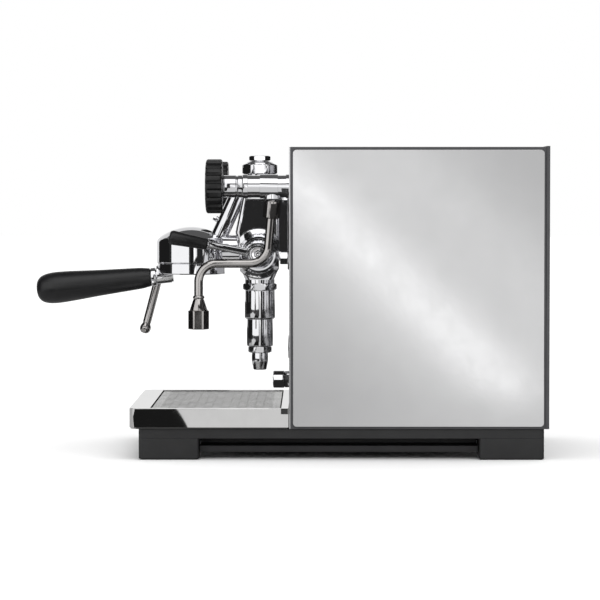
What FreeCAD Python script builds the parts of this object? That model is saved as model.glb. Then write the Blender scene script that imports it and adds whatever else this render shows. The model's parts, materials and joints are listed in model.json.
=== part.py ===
import FreeCAD, Part
import math
import os
from FreeCAD import Vector

# Lever-group espresso machine, millimetres.
# +X is the operator's right, -Y is the front, +Z is up.
# The origin is on the floor, in the middle of the width, below the face of the front panel.

X_AXIS = Vector(1, 0, 0)
Y_AXIS = Vector(0, 1, 0)
Z_AXIS = Vector(0, 0, 1)

# ---------------------------------------------------------------- driving dimensions
WIDTH = 280.0
DEPTH = 280.0
TOP = 338.0
SHEET = 1.5
GAP = 0.3

BASE_TOP = 33.3
SKIRT_BOTTOM = 23.0
BASE_HALF_WIDTH = 135.0
BASE_FRONT = -162.4
BASE_REAR = 275.0
FOOT_WIDTH = 45.0
FOOT_LENGTH_FRONT = 65.0
FOOT_LENGTH_REAR = 70.0
PAD_HEIGHT = 1.2
PAN_BOTTOM = 7.0
PAN_LIP_TOP = 14.0
PAN_FRONT = -97.0
PAN_REAR = 204.6

FRAME_HALF_WIDTH = WIDTH / 2 - 2.0
FRAME_BAR = 12.0
FRAME_REAR = 276.5
FRAME_TOP = TOP - 1.0
SIDE_PANEL_MARGIN = 4.0
SIDE_PANEL_FOOT = 2.6
SIDE_PANEL_REAR = 2.2
SIDE_PANEL_CORNER = 4.0
TOP_PLATE_Z = 333.0
CUP_TRAY_REAR = 188.0

TRAY_FRONT = -172.4
TRAY_REAR = -0.6
TRAY_HALF_WIDTH = 139.0
TRAY_TOP = 55.8
TRAY_CORNER = 9.0
TRAY_FRONT_RIM = 22.0
TRAY_SIDE_RIM = 8.0
TRAY_FLOOR = 2.3
GRATE_TOP = 54.6
GRATE_EDGE_GAP = 1.4
GRATE_COLUMNS = 29
GRATE_ROWS = 7
GRATE_PITCH_X = 8.6
GRATE_PITCH_Y = 18.6
GRATE_SLOT_LENGTH = 11.0
GRATE_SLOT_WIDTH = 3.6

COLUMN_Y = -34.0
COLUMN_HALF_WIDTH = 20.0
COLUMN_HALF_DEPTH = 21.8
COLUMN_FOOT = 190.5
BELL_Y = -111.0
BELL_R = 39.0
BELL_BOTTOM = 209.3
CAM_Y = -35.0
CAM_Z = 220.0
COVER_R = 28.5
LEVER_X = 55.0

VALVE_X = 103.0
VALVE_Z = 294.8
VALVE_R = 12.1
KNOB_R = 29.35
KNOB_FRONT = -91.0
KNOB_BACK = -72.5
KNOB_FLUTES = 20
BALL_Y = -18.4
BALL_Z = 287.0
BALL_R = 7.0
WAND_R = 4.8

BOILER_Y = 100.0
BOILER_Z = 210.0
BOILER_R = 52.0
TANK_FRONT = 194.0
TANK_REAR = 250.0
TANK_HALF_WIDTH = 110.0
TANK_TOP = 328.0

SWITCH_X = 80.0
SWITCH_Z = 119.0
SWITCH_R = 9.9
PLUG_X = 80.0
PLUG_Z = 83.5
GAUGE_X = -62.0
GAUGE_Z = 235.0
GAUGE_R = 22.0
INLET_X = -90.0
INLET_Z = 75.0


# ---------------------------------------------------------------- shape helpers
def box(x_range, y_range, z_range):
    low = Vector(x_range[0], y_range[0], z_range[0])
    size = Vector(x_range[1], y_range[1], z_range[1]) - low
    return Part.makeBox(size.x, size.y, size.z, low)


def rod(start, end, radius, end_radius=None):
    """A round bar, or a cone when end_radius is given."""
    along = end - start
    if end_radius is None or abs(end_radius - radius) < 1e-6:
        return Part.makeCylinder(radius, along.Length, start, along)
    return Part.makeCone(radius, end_radius, along.Length, start, along)


def upright(x, y, z_range, radius, end_radius=None):
    return rod(Vector(x, y, z_range[0]), Vector(x, y, z_range[1]), radius, end_radius)


def along_y(x, z, y_range, radius, end_radius=None):
    return rod(Vector(x, y_range[0], z), Vector(x, y_range[1], z), radius, end_radius)


def hex_bar(start, end, corner_radius, chamfer=0.8, first_corner=0.0):
    """A hexagonal bar with both ends turned down to a chamfer, as on a nut."""
    along = end - start
    corners = []
    for i in range(7):
        turn = math.radians(first_corner + 60 * i)
        corners.append(Vector(corner_radius * math.cos(turn), corner_radius * math.sin(turn), 0))
    bar = Part.Face(Part.makePolygon(corners)).extrude(Vector(0, 0, along.Length))
    slope = 2.0 * chamfer
    profile = Part.makePolygon([
        Vector(0, 0, 0),
        Vector(corner_radius - slope, 0, 0),
        Vector(corner_radius, 0, chamfer),
        Vector(corner_radius, 0, along.Length - chamfer),
        Vector(corner_radius - slope, 0, along.Length),
        Vector(0, 0, along.Length),
        Vector(0, 0, 0),
    ])
    bar = bar.common(Part.Face(profile).revolve(Vector(0, 0, 0), Z_AXIS, 360))
    bar.Placement = FreeCAD.Placement(start, FreeCAD.Rotation(Z_AXIS, along))
    return bar


def turned(points, centre, axis=Z_AXIS):
    """A solid of revolution from (radius, height) points, standing on centre along axis."""
    outline = [Vector(r, 0, h) for r, h in points]
    face = Part.Face(Part.makePolygon(outline + outline[:1]))
    solid = face.revolve(Vector(0, 0, 0), Z_AXIS, 360)
    solid.Placement = FreeCAD.Placement(centre, FreeCAD.Rotation(Z_AXIS, axis))
    return solid


def bent_path(points, bend_radius):
    """Straight runs through the points, joined by tangent arcs of the bend radius."""
    edges = []
    here = points[0]
    for before, corner, after in zip(points, points[1:], points[2:]):
        toward = (before - corner).normalize()
        away = (after - corner).normalize()
        half_turn = (math.pi - toward.getAngle(away)) / 2
        cut = bend_radius * math.tan(half_turn)
        arc_start = corner + toward * cut
        arc_end = corner + away * cut
        middle = (toward + away).normalize()
        arc_middle = corner + middle * (bend_radius / math.cos(half_turn) - bend_radius)
        edges.append(Part.LineSegment(here, arc_start).toShape())
        edges.append(Part.Arc(arc_start, arc_middle, arc_end).toShape())
        here = arc_end
    edges.append(Part.LineSegment(here, points[-1]).toShape())
    return Part.Wire(edges)


def bent_rod(points, radius, bend_radius):
    path = bent_path(points, bend_radius)
    ring = Part.Wire(Part.makeCircle(radius, points[0], points[1] - points[0]))
    return path.makePipeShell([ring], True, False)


def upright_edges(solid, pick=lambda edge: True):
    found = []
    for edge in solid.Edges:
        ends = edge.Vertexes
        if len(ends) == 2 and abs(ends[0].Z - ends[1].Z) > 1 and pick(edge):
            if math.hypot(ends[0].X - ends[1].X, ends[0].Y - ends[1].Y) < 1e-6:
                found.append(edge)
    return found


def slot_x(centre_x, y, z_range, length, width):
    """A round-ended slot cutter that runs along X and cuts through z_range."""
    reach = (length - width) / 2
    cutter = box((centre_x - reach, centre_x + reach), (y - width / 2, y + width / 2), z_range)
    cutter = cutter.fuse(upright(centre_x - reach, y, z_range, width / 2))
    return cutter.fuse(upright(centre_x + reach, y, z_range, width / 2))


def slot_y(x, centre_y, z_range, length, width):
    """A round-ended slot cutter that runs along Y and cuts through z_range."""
    reach = (length - width) / 2
    cutter = box((x - width / 2, x + width / 2), (centre_y - reach, centre_y + reach), z_range)
    cutter = cutter.fuse(upright(x, centre_y - reach, z_range, width / 2))
    return cutter.fuse(upright(x, centre_y + reach, z_range, width / 2))


def joined(shapes):
    return shapes[0].fuse(shapes[1:]).removeSplitter()


def group(shapes):
    return Part.makeCompound(shapes)


# ---------------------------------------------------------------- base
def base_frame():
    """A folded steel tray turned upside down: the deck and its skirt."""
    half = BASE_HALF_WIDTH
    deck = box((-half, half), (BASE_FRONT, BASE_REAR), (SKIRT_BOTTOM, BASE_TOP))
    deck = deck.makeFillet(3.0, upright_edges(deck))
    wall = 2.0
    hollow = box(
        (-half + wall, half - wall),
        (BASE_FRONT + wall, BASE_REAR - wall),
        (SKIRT_BOTTOM, BASE_TOP - wall),
    )
    return deck.cut(hollow)


def foot_places():
    """The (x range, y range) of each pedestal."""
    places = []
    for side in (-1, 1):
        outer = side * BASE_HALF_WIDTH
        inner = side * (BASE_HALF_WIDTH - FOOT_WIDTH)
        x_range = (min(outer, inner), max(outer, inner))
        places.append((x_range, (BASE_FRONT, BASE_FRONT + FOOT_LENGTH_FRONT)))
        places.append((x_range, (BASE_REAR - FOOT_LENGTH_REAR, BASE_REAR)))
    return places


def pedestal_feet():
    feet = []
    for x_range, y_range in foot_places():
        foot = box(x_range, y_range, (PAD_HEIGHT, SKIRT_BOTTOM))
        feet.append(foot.makeFillet(3.0, upright_edges(foot)))
    return group(feet)


def foot_pads():
    pads = []
    inset = 1.5
    for x_range, y_range in foot_places():
        pad = box(
            (x_range[0] + inset, x_range[1] - inset),
            (y_range[0] + inset, y_range[1] - inset),
            (0, PAD_HEIGHT),
        )
        pads.append(pad.makeFillet(4.0, upright_edges(pad)))
    return group(pads)


def chassis_pan():
    """A shallow pan hung under the deck, with a wider lip at its foot."""
    wide = 120.0
    narrow = 86.0
    rows = (PAN_FRONT, PAN_REAR)
    pan = box((-wide, wide), rows, (PAN_BOTTOM, PAN_LIP_TOP))
    pan = pan.fuse(box((-narrow, narrow), rows, (PAN_LIP_TOP, BASE_TOP - 2.0)))
    inner_rows = (PAN_FRONT + SHEET, PAN_REAR - SHEET)
    pan = pan.cut(box((-wide + SHEET, wide - SHEET), inner_rows, (PAN_BOTTOM + SHEET, PAN_LIP_TOP - SHEET)))
    inside = box(
        (-narrow + SHEET, narrow - SHEET),
        inner_rows,
        (PAN_BOTTOM + SHEET, BASE_TOP - 2.0),
    )
    return pan.cut(inside)


# ---------------------------------------------------------------- casing
def body_frame():
    """Two flat side rings and the four bars between them."""
    pieces = []
    low = BASE_TOP + GAP
    for side in (-1, 1):
        faces = sorted((side * (FRAME_HALF_WIDTH - 2.0), side * FRAME_HALF_WIDTH))
        ring = box(faces, (SHEET, FRAME_REAR), (low, FRAME_TOP))
        ring = ring.cut(box(
            faces,
            (SHEET + FRAME_BAR, FRAME_REAR - FRAME_BAR),
            (low + FRAME_BAR, FRAME_TOP - FRAME_BAR),
        ))
        pieces.append(ring)
    inner = FRAME_HALF_WIDTH - 2.0
    for y in (SHEET, FRAME_REAR - FRAME_BAR):
        for z in (low, TOP_PLATE_Z - FRAME_BAR):
            pieces.append(box((-inner, inner), (y, y + FRAME_BAR), (z, z + FRAME_BAR)))
    return group(pieces)


def front_panel():
    half = FRAME_HALF_WIDTH
    panel = box((-half, half), (0, SHEET), (BASE_TOP + GAP, FRAME_TOP))
    through = (-1, SHEET + 1)
    for side in (-1, 1):
        panel = panel.cut(along_y(side * VALVE_X, VALVE_Z, through, 8.2))
    for z in THERMOSYPHON_Z:
        panel = panel.cut(along_y(0, z, through, 6.3))
    panel = panel.cut(along_y(PLUG_X, PLUG_Z, through, 6.3))
    panel = panel.cut(along_y(SWITCH_X, SWITCH_Z, through, SWITCH_R + GAP))
    return panel.cut(along_y(GAUGE_X, GAUGE_Z, through, GAUGE_R + GAP))


def rear_panel():
    half = FRAME_HALF_WIDTH + 1.0
    panel = box((-half, half), (FRAME_REAR, DEPTH), (BASE_TOP + GAP, TOP))
    for side in (-1, 1):
        for row in range(9):
            z = 205.0 + 10.0 * row
            x_range = sorted((side * 40.0, side * 105.0))
            panel = panel.cut(box(x_range, (FRAME_REAR - 1, DEPTH + 1), (z, z + 4.0)))
    panel = panel.cut(box(
        (INLET_X - 25.0, INLET_X + 25.0),
        (FRAME_REAR - 1, DEPTH + 1),
        (INLET_Z - 14.0, INLET_Z + 14.0),
    ))
    for x, z in screw_places():
        panel = panel.cut(along_y(x, z, (DEPTH - 2.0, DEPTH + 1), 3.4))
    return panel


def screw_places():
    places = []
    for x in (-128.0, 0.0, 128.0):
        for z in (46.0, 185.0, 325.0):
            if not (x == 0.0 and z == 185.0):
                places.append((x, z))
    return places


def panel_screws():
    """Low round heads with a hexagonal socket, sunk in the rear panel."""
    screws = []
    for x, z in screw_places():
        head = along_y(x, z, (DEPTH - 2.0, DEPTH), 3.3)
        socket = hex_bar(Vector(x, DEPTH - 1.2, z), Vector(x, DEPTH + 1, z), 1.6, 0.1)
        screws.append(head.cut(socket))
    return group(screws)


def side_panel(side):
    faces = sorted((side * FRAME_HALF_WIDTH, side * WIDTH / 2))
    rows = (SIDE_PANEL_MARGIN, FRAME_REAR - SIDE_PANEL_REAR)
    plate = box(faces, rows, (BASE_TOP + SIDE_PANEL_FOOT, TOP - SIDE_PANEL_MARGIN))
    corners = [edge for edge in plate.Edges if abs(edge.Vertexes[0].X - edge.Vertexes[1].X) > 1]
    return plate.makeFillet(SIDE_PANEL_CORNER, corners)


def top_plate():
    """The fixed deck under the cup tray, with a lip folded down at the tank bay."""
    half = FRAME_HALF_WIDTH - 2.0
    plate = box((-half, half), (SHEET, CUP_TRAY_REAR), (TOP_PLATE_Z, TOP_PLATE_Z + SHEET))
    lip = box((-half, half), (CUP_TRAY_REAR - SHEET, CUP_TRAY_REAR), (TOP_PLATE_Z - 20.0, TOP_PLATE_Z))
    return plate.fuse(lip).removeSplitter()


def cup_tray():
    """The lift-off perforated tray on top of the casing."""
    low = TOP_PLATE_Z + SHEET + GAP
    high = FRAME_TOP
    half = FRAME_HALF_WIDTH - 3.0
    rows = (SHEET + 0.5, CUP_TRAY_REAR - 0.5)
    tray = box((-half, half), rows, (low, high))
    tray = tray.makeFillet(4.0, upright_edges(tray))
    tray = tray.cut(box((-half + 2, half - 2), (rows[0] + 2, rows[1] - 2), (low, high - 1.2)))
    for column in range(6):
        for line in range(13):
            x = -100.0 + 40.0 * column
            y = 17.0 + 13.0 * line
            tray = tray.cut(slot_x(x, y, (low, high + 1), 26.0, 4.0))
    return tray


# ---------------------------------------------------------------- water tank
def water_tank():
    floor = BASE_TOP + GAP
    half = TANK_HALF_WIDTH
    wall = 2.5
    tank = box((-half, half), (TANK_FRONT, TANK_REAR), (floor, TANK_TOP))
    tank = tank.makeFillet(8.0, upright_edges(tank))
    inside = box((-half + wall, half - wall), (TANK_FRONT + wall, TANK_REAR - wall), (floor + 3, TANK_TOP + 1))
    inside = inside.makeFillet(5.5, upright_edges(inside))
    return tank.cut(inside)


def tank_lid():
    """The flush rear part of the top, with a plug that sits in the tank's mouth."""
    half = FRAME_HALF_WIDTH - 2.5
    plate_z = TOP_PLATE_Z + SHEET + GAP
    lid = box((-half, half), (CUP_TRAY_REAR + 2.5, FRAME_REAR - 0.5), (plate_z, FRAME_TOP))
    neck = box(
        (-TANK_HALF_WIDTH, TANK_HALF_WIDTH),
        (TANK_FRONT, TANK_REAR),
        (TANK_TOP + GAP, plate_z),
    )
    plug = box(
        (-TANK_HALF_WIDTH + 4, TANK_HALF_WIDTH - 4),
        (TANK_FRONT + 4, TANK_REAR - 4),
        (TANK_TOP - 5, TANK_TOP + GAP),
    )
    plug = plug.makeFillet(5.0, upright_edges(plug))
    lid = joined([lid, neck, plug])
    finger_dish = upright(0, TANK_FRONT + 20.0, (FRAME_TOP - 1.5, FRAME_TOP + 1), 11.0)
    return lid.cut(finger_dish)


# ---------------------------------------------------------------- drip tray
def tray_outline(inset, z_range):
    half = TRAY_HALF_WIDTH - inset
    block = box((-half, half), (TRAY_FRONT + inset, TRAY_REAR - inset), z_range)
    corner = TRAY_CORNER - inset
    front = upright_edges(block, lambda edge: edge.Vertexes[0].Y < TRAY_FRONT + TRAY_CORNER)
    return block.makeFillet(corner, front)


def tray_mouth():
    """The x and y ranges of the opening in the tray's top."""
    half = TRAY_HALF_WIDTH - TRAY_SIDE_RIM
    return (-half, half), (TRAY_FRONT + TRAY_FRONT_RIM, TRAY_REAR - TRAY_SIDE_RIM)


def drip_tray():
    """The tray, drawn in a little at its foot so that a thin shadow line shows under it."""
    foot = BASE_TOP + GAP
    shadow_line = 1.3
    tray = tray_outline(0.0, (foot + shadow_line, TRAY_TOP))
    tray = tray.fuse(tray_outline(1.0, (foot, foot + shadow_line))).removeSplitter()
    tray = tray.cut(tray_outline(SHEET, (foot + TRAY_FLOOR, TRAY_TOP - SHEET)))
    x_range, y_range = tray_mouth()
    return tray.cut(box(x_range, y_range, (TRAY_TOP - SHEET - 1, TRAY_TOP + 1)))


def drip_grate():
    x_mouth, y_mouth = tray_mouth()
    edge = GRATE_EDGE_GAP
    x_range = (x_mouth[0] + edge, x_mouth[1] - edge)
    y_range = (y_mouth[0] + edge, y_mouth[1] - edge)
    plate = box(x_range, y_range, (GRATE_TOP - 2.0, GRATE_TOP))
    cutters = []
    for column in range(GRATE_COLUMNS):
        rows = GRATE_ROWS - column % 2
        for line in range(rows):
            x = GRATE_PITCH_X * (column - (GRATE_COLUMNS - 1) / 2)
            y = (y_range[0] + y_range[1]) / 2 + GRATE_PITCH_Y * (line - (rows - 1) / 2)
            cutters.append(slot_y(x, y, (GRATE_TOP - 3, GRATE_TOP + 1), GRATE_SLOT_LENGTH, GRATE_SLOT_WIDTH))
    plate = plate.cut(group(cutters))
    legs = []
    for x in (x_range[0] + 3.0, x_range[1] - 3.0):
        for y in (y_range[0] + 3.0, y_range[1] - 3.0):
            legs.append(upright(x, y, (BASE_TOP + TRAY_FLOOR + 2 * GAP, GRATE_TOP - 2.0), 2.5))
    return joined([plate] + legs)


# ---------------------------------------------------------------- brew group
THERMOSYPHON_Z = (212.0, 250.0)
NECK_TOP = Vector(0, -54.5, 294.0)
NECK_FOOT = Vector(0, -86.0, 226.0)
NECK_R = 9.5
GROUP_FLANGE_Y = -2.5
SIDE_CORNER = 30.0


def bell_outside():
    """The bell's outer form: a short wall, a round shoulder and a low dome."""
    axis = Vector(0, BELL_Y, 0)
    shoulder_z = 231.5
    shoulder_r = 7.5
    dome_top = 249.4
    wall_foot = Vector(BELL_R, 0, BELL_BOTTOM + 0.8)
    wall_head = Vector(BELL_R, 0, shoulder_z)
    turn = math.radians(62)
    centre = Vector(BELL_R - shoulder_r, 0, shoulder_z)
    mid = centre + Vector(shoulder_r * math.cos(turn / 2), 0, shoulder_r * math.sin(turn / 2))
    dome_edge = centre + Vector(shoulder_r * math.cos(turn), 0, shoulder_r * math.sin(turn))
    rise = dome_top - dome_edge.z
    sphere_r = (dome_edge.x ** 2 + rise ** 2) / (2 * rise)
    half_span = math.asin(dome_edge.x / sphere_r) / 2
    crown = Vector(0, 0, dome_top)
    dome_mid = crown + Vector(math.sin(half_span), 0, math.cos(half_span) - 1) * sphere_r
    edges = [
        Part.LineSegment(Vector(0, 0, BELL_BOTTOM), Vector(BELL_R - 0.8, 0, BELL_BOTTOM)).toShape(),
        Part.LineSegment(Vector(BELL_R - 0.8, 0, BELL_BOTTOM), wall_foot).toShape(),
        Part.LineSegment(wall_foot, wall_head).toShape(),
        Part.Arc(wall_head, mid, dome_edge).toShape(),
        Part.Arc(dome_edge, dome_mid, crown).toShape(),
        Part.LineSegment(crown, Vector(0, 0, BELL_BOTTOM)).toShape(),
    ]
    face = Part.Face(Part.Wire(edges))
    return face.revolve(Vector(0, 0, 0), Z_AXIS, 360).translated(axis)


LIP_BORE_R = 33.7
GROOVE_R = 36.3
LUG_FOOT = 213.9
LUG_HEAD = 218.6
LUG_HALF_ANGLE = 14.0
LUG_ANGLES = (60.0, 240.0)
UNLOCK_TURN = -52.0
GASKET_Z = (222.4, 231.0)


def ring_sector(inner, outer, z_range, middle_angle, half_angle):
    """A block of a ring about the bell's axis."""
    turn = 2 * half_angle
    solid = Part.makeCylinder(outer, z_range[1] - z_range[0], Vector(0, 0, z_range[0]), Z_AXIS, turn)
    solid = solid.cut(upright(0, 0, (z_range[0] - 1, z_range[1] + 1), inner))
    solid.rotate(Vector(0, 0, 0), Z_AXIS, middle_angle - half_angle)
    return solid.translated(Vector(0, BELL_Y, 0))


def group_bell():
    """The bell, with the lug groove, its two entries and the gasket seat."""
    bell = bell_outside()
    room = turned(
        [
            (0, BELL_BOTTOM - 1),
            (LIP_BORE_R, BELL_BOTTOM - 1),
            (LIP_BORE_R, LUG_FOOT - GAP),
            (GROOVE_R, LUG_FOOT - GAP),
            (GROOVE_R, GASKET_Z[1]),
            (0, GASKET_Z[1]),
        ],
        Vector(0, BELL_Y, 0),
    )
    bell = bell.cut(room)
    for angle in LUG_ANGLES:
        entry = ring_sector(
            LIP_BORE_R - 1,
            GROOVE_R - 0.3,
            (BELL_BOTTOM - 1, LUG_FOOT + 1),
            angle + UNLOCK_TURN,
            LUG_HALF_ANGLE + 1.5,
        )
        bell = bell.cut(entry)
    return bell


def group_gasket():
    ring = upright(0, BELL_Y, GASKET_Z, GROOVE_R - 0.1)
    return ring.cut(upright(0, BELL_Y, (GASKET_Z[0] - 1, GASKET_Z[1] + 1), 29.5))


def shower_screen():
    """A shallow dish with rings of small holes."""
    dish = upright(0, BELL_Y, (GASKET_Z[0] + 0.6, GASKET_Z[1]), 29.3)
    dish = dish.cut(upright(0, BELL_Y, (GASKET_Z[0] + 1.8, GASKET_Z[1] + 1), 28.1))
    for ring in range(1, 4):
        for i in range(6 * ring):
            turn = 2 * math.pi * i / (6 * ring)
            x = 7.6 * ring * math.cos(turn)
            y = BELL_Y + 7.6 * ring * math.sin(turn)
            dish = dish.cut(upright(x, y, (GASKET_Z[0], GASKET_Z[0] + 3), 1.0))
    return dish


def group_column():
    """The upright block of the casting, leaning forward at its front and rounded at its corners."""
    half = COLUMN_HALF_WIDTH
    outline = [
        (-52.6, 286.0), (-61.0, 244.0), (-58.0, 222.0), (-55.5, 204.0), (-50.0, COLUMN_FOOT),
        (-18.0, COLUMN_FOOT), (-12.2, 204.0), (-12.2, 264.0), (-18.5, 286.0),
    ]
    corners = [Vector(-half, y, z) for y, z in outline]
    block = Part.Face(Part.makePolygon(corners + corners[:1])).extrude(Vector(2 * half, 0, 0))
    long_edges = []
    for edge in block.Edges:
        ends = edge.Vertexes
        if abs(ends[0].X - ends[1].X) < 1e-6 and abs(ends[0].Z - ends[1].Z) > 1:
            long_edges.append(edge)
    return block.makeFillet(5.0, long_edges)


def group_body():
    """The casting: upright column, sloped neck, arm to the bell and the web behind."""
    head = turned(
        [(0, 0), (16.0, 0), (16.0, 12.0), (17.5, 14.0), (17.5, 20.0), (15.5, 22.0), (15.5, 28.5), (0, 28.5)],
        Vector(0, COLUMN_Y, 280.0),
    )
    foot = upright(0, COLUMN_Y, (186.3, COLUMN_FOOT), 16.5)
    arm = along_y(0, 223.0, (BELL_Y + 20, COLUMN_Y), 17.5)
    neck = rod(NECK_FOOT, NECK_TOP, NECK_R)
    elbow = Part.makeSphere(NECK_R, NECK_TOP)
    bridge = rod(NECK_TOP, Vector(0, COLUMN_Y, NECK_TOP.z), NECK_R)
    web = box((-12, 12), (COLUMN_Y, GROUP_FLANGE_Y), (221.8, 284))
    casting = joined([group_column(), head, foot, arm, neck, elbow, bridge, web])
    casting = casting.cut([bell_outside(), upright(0, BELL_Y, (180, BELL_BOTTOM + 2), BELL_R)])
    cam_room = rod(Vector(-14, CAM_Y, CAM_Z), Vector(21, CAM_Y, CAM_Z), 14.0)
    stem_bore = upright(0, COLUMN_Y, (CAM_Z, 297.0), 6.0)
    plug_way = neck_plug_way()
    return casting.cut([cam_room, stem_bore, rod(plug_way[0], plug_way[1], 2.5)])


def neck_plug_way():
    """Where the bleed plug enters the neck: a point inside the wall and the direction's far end."""
    along = (NECK_FOOT - NECK_TOP).normalize()
    outward = Vector(0, along.z, -along.y)
    seat = NECK_TOP + along * 44.0
    return seat + outward * (NECK_R - 4.0), seat + outward * (NECK_R + 0.4)


def neck_plug():
    """A small screw with a round head on the front of the neck."""
    inner, outer = neck_plug_way()
    outward = (outer - inner).normalize()
    shank = rod(inner, outer, 2.5)
    collar = rod(outer, outer + outward * 1.6, 3.2)
    head = hex_bar(outer + outward * 1.6, outer + outward * 4.6, 3.4, 0.4)
    return joined([shank, collar, head])


def top_nut():
    """The large hexagonal cap on the column."""
    nut = hex_bar(Vector(0, COLUMN_Y, 308.5), Vector(0, COLUMN_Y, 320.3), 19.8, 1.4, SIDE_CORNER)
    dome = turned([(0, 0), (15.0, 0), (14.0, 1.6), (11.0, 2.8), (8.0, 3.4), (0, 3.4)], Vector(0, COLUMN_Y, 320.3))
    return joined([nut, dome])


def top_cap():
    """The small hexagonal plug above the large cap."""
    return hex_bar(Vector(0, COLUMN_Y, 323.7), Vector(0, COLUMN_Y, 329.5), 12.0, 1.0, SIDE_CORNER)


def cam_cover():
    """The stepped round cover that carries the camshaft, with a flat at the front and the back."""
    start = Vector(COLUMN_HALF_WIDTH, CAM_Y, CAM_Z)
    profile = [
        (0, 0), (COVER_R, 0), (COVER_R, 4.0), (COVER_R - 1.5, 5.5), (22.0, 7.5), (19.0, 5.5),
        (17.0, 5.5), (16.0, 12.0), (13.0, 18.0), (12.0, 19.5), (0, 19.5),
    ]
    cover = turned(profile, start, X_AXIS)
    flats = box(
        (COLUMN_HALF_WIDTH, COLUMN_HALF_WIDTH + 30),
        (COLUMN_Y - COLUMN_HALF_DEPTH, COLUMN_Y + COLUMN_HALF_DEPTH),
        (CAM_Z - 40, CAM_Z + 40),
    )
    bore = rod(Vector(COLUMN_HALF_WIDTH - 1, CAM_Y, CAM_Z), Vector(LEVER_X, CAM_Y, CAM_Z), 5.06)
    return cover.common(flats).cut(bore)


HUB_R = 11.0
HUB_X = (40.5, 62.0)


def camshaft():
    """The lever's shaft, with its eccentric cam inside the column and its hollow hub outside."""
    shaft = rod(Vector(-8, CAM_Y, CAM_Z), Vector(LEVER_X, CAM_Y, CAM_Z), 5.0)
    cam = rod(Vector(-5, CAM_Y + 2.5, CAM_Z), Vector(5, CAM_Y + 2.5, CAM_Z), 9.0)
    length = HUB_X[1] - HUB_X[0]
    hub = turned(
        [(0, 0), (HUB_R - 1.5, 0), (HUB_R, 1.5), (HUB_R, length - 1.5), (HUB_R - 1.5, length), (0, length)],
        Vector(HUB_X[0], CAM_Y, CAM_Z),
        X_AXIS,
    )
    hub = hub.cut(rod(Vector(HUB_X[1] - 3.0, CAM_Y, CAM_Z), Vector(HUB_X[1] + 1, CAM_Y, CAM_Z), 7.2))
    screw = hex_bar(Vector(HUB_X[1] - 3.0, CAM_Y, CAM_Z), Vector(HUB_X[1] - 0.6, CAM_Y, CAM_Z), 5.2, 0.5)
    return joined([shaft, cam, hub, screw])


LEVER_ANGLE = 11.0
LEVER_DIR = Vector(0, -math.cos(math.radians(LEVER_ANGLE)), math.sin(math.radians(LEVER_ANGLE)))
LEVER_ROOT = Vector(LEVER_X, CAM_Y, CAM_Z)
LEVER_GRIP_START = 57.0
LEVER_GRIP_LENGTH = 43.0


def lever_rod():
    """The steel arm of the lever, screwed into the hub."""
    start = LEVER_ROOT + LEVER_DIR * (HUB_R - 2.0)
    end = LEVER_ROOT + LEVER_DIR * (LEVER_GRIP_START + 20.0)
    arm = rod(start, LEVER_ROOT + LEVER_DIR * LEVER_GRIP_START, 4.3, 4.0)
    tang = rod(LEVER_ROOT + LEVER_DIR * LEVER_GRIP_START, end, 3.0)
    arm = joined([arm, tang])
    return arm.cut(rod(Vector(HUB_X[0], CAM_Y, CAM_Z), Vector(HUB_X[1], CAM_Y, CAM_Z), HUB_R))


def lever_grip():
    start = LEVER_ROOT + LEVER_DIR * LEVER_GRIP_START
    length = LEVER_GRIP_LENGTH
    profile = [(0, 0), (5.4, 0), (6.2, 0.9), (8.0, length - 5), (7.4, length - 2), (5.4, length - 0.4), (0, length)]
    grip = turned(profile, start, LEVER_DIR)
    return grip.cut(rod(start - LEVER_DIR, start + LEVER_DIR * 20.2, 3.02))


def brew_valve_stem():
    """The stem that the cam lifts to let water through to the bell."""
    stem = upright(0, COLUMN_Y, (236.0, 288.0), 3.5)
    head = upright(0, COLUMN_Y, (280.0, 285.0), 5.5)
    return joined([stem, head])


def upper_chamber():
    """The nut and the upper drum of the discharge chamber."""
    nut = hex_bar(Vector(0, COLUMN_Y, 178.4), Vector(0, COLUMN_Y, 186.3), 19.2, 1.2, SIDE_CORNER)
    drum = turned([(0, 0), (15.4, 0), (17.0, 1.6), (17.0, 32.6), (0, 32.6)], Vector(0, COLUMN_Y, 145.8))
    return joined([nut, drum])


def lower_chamber():
    return turned([(0, 0), (14.0, 0), (14.7, 0.8), (14.7, 30.6), (0, 30.6)], Vector(0, COLUMN_Y, 115.2))


def discharge_nozzle():
    """The hexagonal end of the discharge chamber, with its open spout."""
    nut = hex_bar(Vector(0, COLUMN_Y, 108.0), Vector(0, COLUMN_Y, 115.2), 13.5, 1.0, SIDE_CORNER)
    spout = turned([(0, 0), (7.0, 0), (7.5, 0.6), (9.2, 9.8), (9.2, 19.3), (0, 19.3)], Vector(0, COLUMN_Y, 88.7))
    nozzle = joined([nut, spout])
    return nozzle.cut(upright(0, COLUMN_Y, (80.0, 112.0), 4.5))


def group_flange():
    plate = box((-34, 34), (GROUP_FLANGE_Y, 0), (202, 289))
    corners = [edge for edge in plate.Edges if abs(edge.Vertexes[0].Y - edge.Vertexes[1].Y) > 1]
    return plate.makeFillet(9.0, corners)


def flange_nuts():
    """Two small nuts above and two tall ones below, on their studs."""
    nuts = []
    for x in (-25.0, 25.0):
        for z, height, corner_radius in ((279.8, 5.0, 5.0), (214.8, 8.4, 7.6)):
            front = GROUP_FLANGE_Y - height
            nut = hex_bar(Vector(x, front, z), Vector(x, GROUP_FLANGE_Y, z), corner_radius, 0.6)
            stud = along_y(x, z, (front - 1.0, GROUP_FLANGE_Y), 2.6)
            nuts.append(joined([nut, stud]))
    return group(nuts)


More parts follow.
